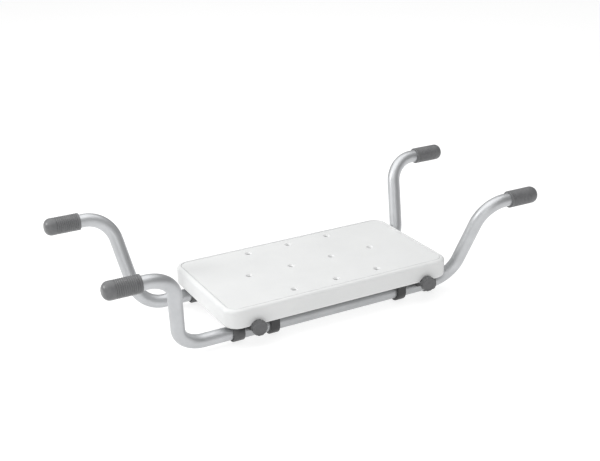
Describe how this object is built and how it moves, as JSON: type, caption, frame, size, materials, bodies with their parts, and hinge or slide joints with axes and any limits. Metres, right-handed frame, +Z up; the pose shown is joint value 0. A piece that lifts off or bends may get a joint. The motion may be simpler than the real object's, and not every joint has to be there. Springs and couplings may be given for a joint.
{
  "type": "bath transfer bench",
  "caption": "Suspended bath seat: white drained board on under-seat rails, with sliding bent aluminium arms that end in ribbed grips and lock with hand knobs.",
  "frame": {"origin": "under the middle of the bench, on the level of the saddles' lowest points", "axes": "+X across the bath towards the right arms, +Y towards the rear row of arms, +Z up"},
  "size_m": [0.7714, 0.3054, 0.1778],
  "materials": {
    "seat_plastic": "satin moulded white polymer",
    "tube_aluminium": "satin anodised tube",
    "grip_rubber": "soft grey ribbed moulding",
    "sleeve_plastic": "dark grey moulded nylon",
    "saddle_plastic": "black moulded nylon",
    "clamp_plastic": "dark moulded nylon",
    "knob_plastic": "dark grey moulded knob",
    "glide_plastic": "black nylon",
    "fixing_steel": "stainless fixings"
  },
  "bodies": {
    "bench": {"seat_board": "seat_plastic", "rail_front": "tube_aluminium", "rail_rear": "tube_aluminium", "saddle_screws": "fixing_steel", "clamp_nuts": "fixing_steel", "saddle_left_front": "saddle_plastic", "sleeve_left_front": "sleeve_plastic", "clamp_outer_jaw_left_front": "clamp_plastic", "clamp_inner_jaw_left_front": "clamp_plastic", "saddle_left_rear": "saddle_plastic", "sleeve_left_rear": "sleeve_plastic", "clamp_outer_jaw_left_rear": "clamp_plastic", "clamp_inner_jaw_left_rear": "clamp_plastic", "saddle_right_front": "saddle_plastic", "sleeve_right_front": "sleeve_plastic", "clamp_outer_jaw_right_front": "clamp_plastic", "clamp_inner_jaw_right_front": "clamp_plastic", "saddle_right_rear": "saddle_plastic", "sleeve_right_rear": "sleeve_plastic", "clamp_outer_jaw_right_rear": "clamp_plastic", "clamp_inner_jaw_right_rear": "clamp_plastic"},
    "arm_body_left_front": {"arm_left_front": "tube_aluminium", "arm_glide_left_front": "glide_plastic", "arm_stop_pin_left_front": "fixing_steel", "grip_left_front": "grip_rubber"},
    "washer_body_left_front": {"knob_washer_left_front": "fixing_steel"},
    "knob_body_left_front": {"knob_left_front": "knob_plastic", "knob_stud_left_front": "fixing_steel"},
    "arm_body_left_rear": {"arm_left_rear": "tube_aluminium", "arm_glide_left_rear": "glide_plastic", "arm_stop_pin_left_rear": "fixing_steel", "grip_left_rear": "grip_rubber"},
    "washer_body_left_rear": {"knob_washer_left_rear": "fixing_steel"},
    "knob_body_left_rear": {"knob_left_rear": "knob_plastic", "knob_stud_left_rear": "fixing_steel"},
    "arm_body_right_front": {"arm_right_front": "tube_aluminium", "arm_glide_right_front": "glide_plastic", "arm_stop_pin_right_front": "fixing_steel", "grip_right_front": "grip_rubber"},
    "washer_body_right_front": {"knob_washer_right_front": "fixing_steel"},
    "knob_body_right_front": {"knob_right_front": "knob_plastic", "knob_stud_right_front": "fixing_steel"},
    "arm_body_right_rear": {"arm_right_rear": "tube_aluminium", "arm_glide_right_rear": "glide_plastic", "arm_stop_pin_right_rear": "fixing_steel", "grip_right_rear": "grip_rubber"},
    "washer_body_right_rear": {"knob_washer_right_rear": "fixing_steel"},
    "knob_body_right_rear": {"knob_right_rear": "knob_plastic", "knob_stud_right_rear": "fixing_steel"}
  },
  "joints": [
    {"name": "arm_slide_left_front", "type": "slide", "parent": "bench", "child": "arm_body_left_front", "axis": [-1, 0, 0], "range_m": [-0.05, 0.03]},
    {"name": "knob_travel_left_front", "type": "slide", "parent": "bench", "child": "washer_body_left_front", "axis": [0, -1, 0], "range_m": [0, 0.002]},
    {"name": "knob_turn_left_front", "type": "hinge", "parent": "washer_body_left_front", "child": "knob_body_left_front", "pos_m": [-0.1339, -0.117, 0.0337], "axis": [0, -1, 0], "range_deg": [0, 725]},
    {"name": "arm_slide_left_rear", "type": "slide", "parent": "bench", "child": "arm_body_left_rear", "axis": [-1, 0, 0], "range_m": [-0.05, 0.03]},
    {"name": "knob_travel_left_rear", "type": "slide", "parent": "bench", "child": "washer_body_left_rear", "axis": [0, 1, 0], "range_m": [0, 0.002]},
    {"name": "knob_turn_left_rear", "type": "hinge", "parent": "washer_body_left_rear", "child": "knob_body_left_rear", "pos_m": [-0.1339, 0.117, 0.0337], "axis": [0, 1, 0], "range_deg": [0, 725]},
    {"name": "arm_slide_right_front", "type": "slide", "parent": "bench", "child": "arm_body_right_front", "axis": [1, 0, 0], "range_m": [0, 0.08]},
    {"name": "knob_travel_right_front", "type": "slide", "parent": "bench", "child": "washer_body_right_front", "axis": [0, -1, 0], "range_m": [0, 0.002]},
    {"name": "knob_turn_right_front", "type": "hinge", "parent": "washer_body_right_front", "child": "knob_body_right_front", "pos_m": [0.1839, -0.117, 0.0337], "axis": [0, -1, 0], "range_deg": [0, 725]},
    {"name": "arm_slide_right_rear", "type": "slide", "parent": "bench", "child": "arm_body_right_rear", "axis": [1, 0, 0], "range_m": [0, 0.08]},
    {"name": "knob_travel_right_rear", "type": "slide", "parent": "bench", "child": "washer_body_right_rear", "axis": [0, 1, 0], "range_m": [0, 0.002]},
    {"name": "knob_turn_right_rear", "type": "hinge", "parent": "washer_body_right_rear", "child": "knob_body_right_rear", "pos_m": [0.1839, 0.117, 0.0337], "axis": [0, 1, 0], "range_deg": [0, 725]}
  ],
  "couplings": [
    {"joint": "knob_turn_left_front", "follows": "knob_travel_left_front", "rad_per_m": 6283.2},
    {"joint": "knob_turn_left_rear", "follows": "knob_travel_left_rear", "rad_per_m": 6283.2},
    {"joint": "knob_turn_right_front", "follows": "knob_travel_right_front", "rad_per_m": 6283.2},
    {"joint": "knob_turn_right_rear", "follows": "knob_travel_right_rear", "rad_per_m": 6283.2}
  ]
}
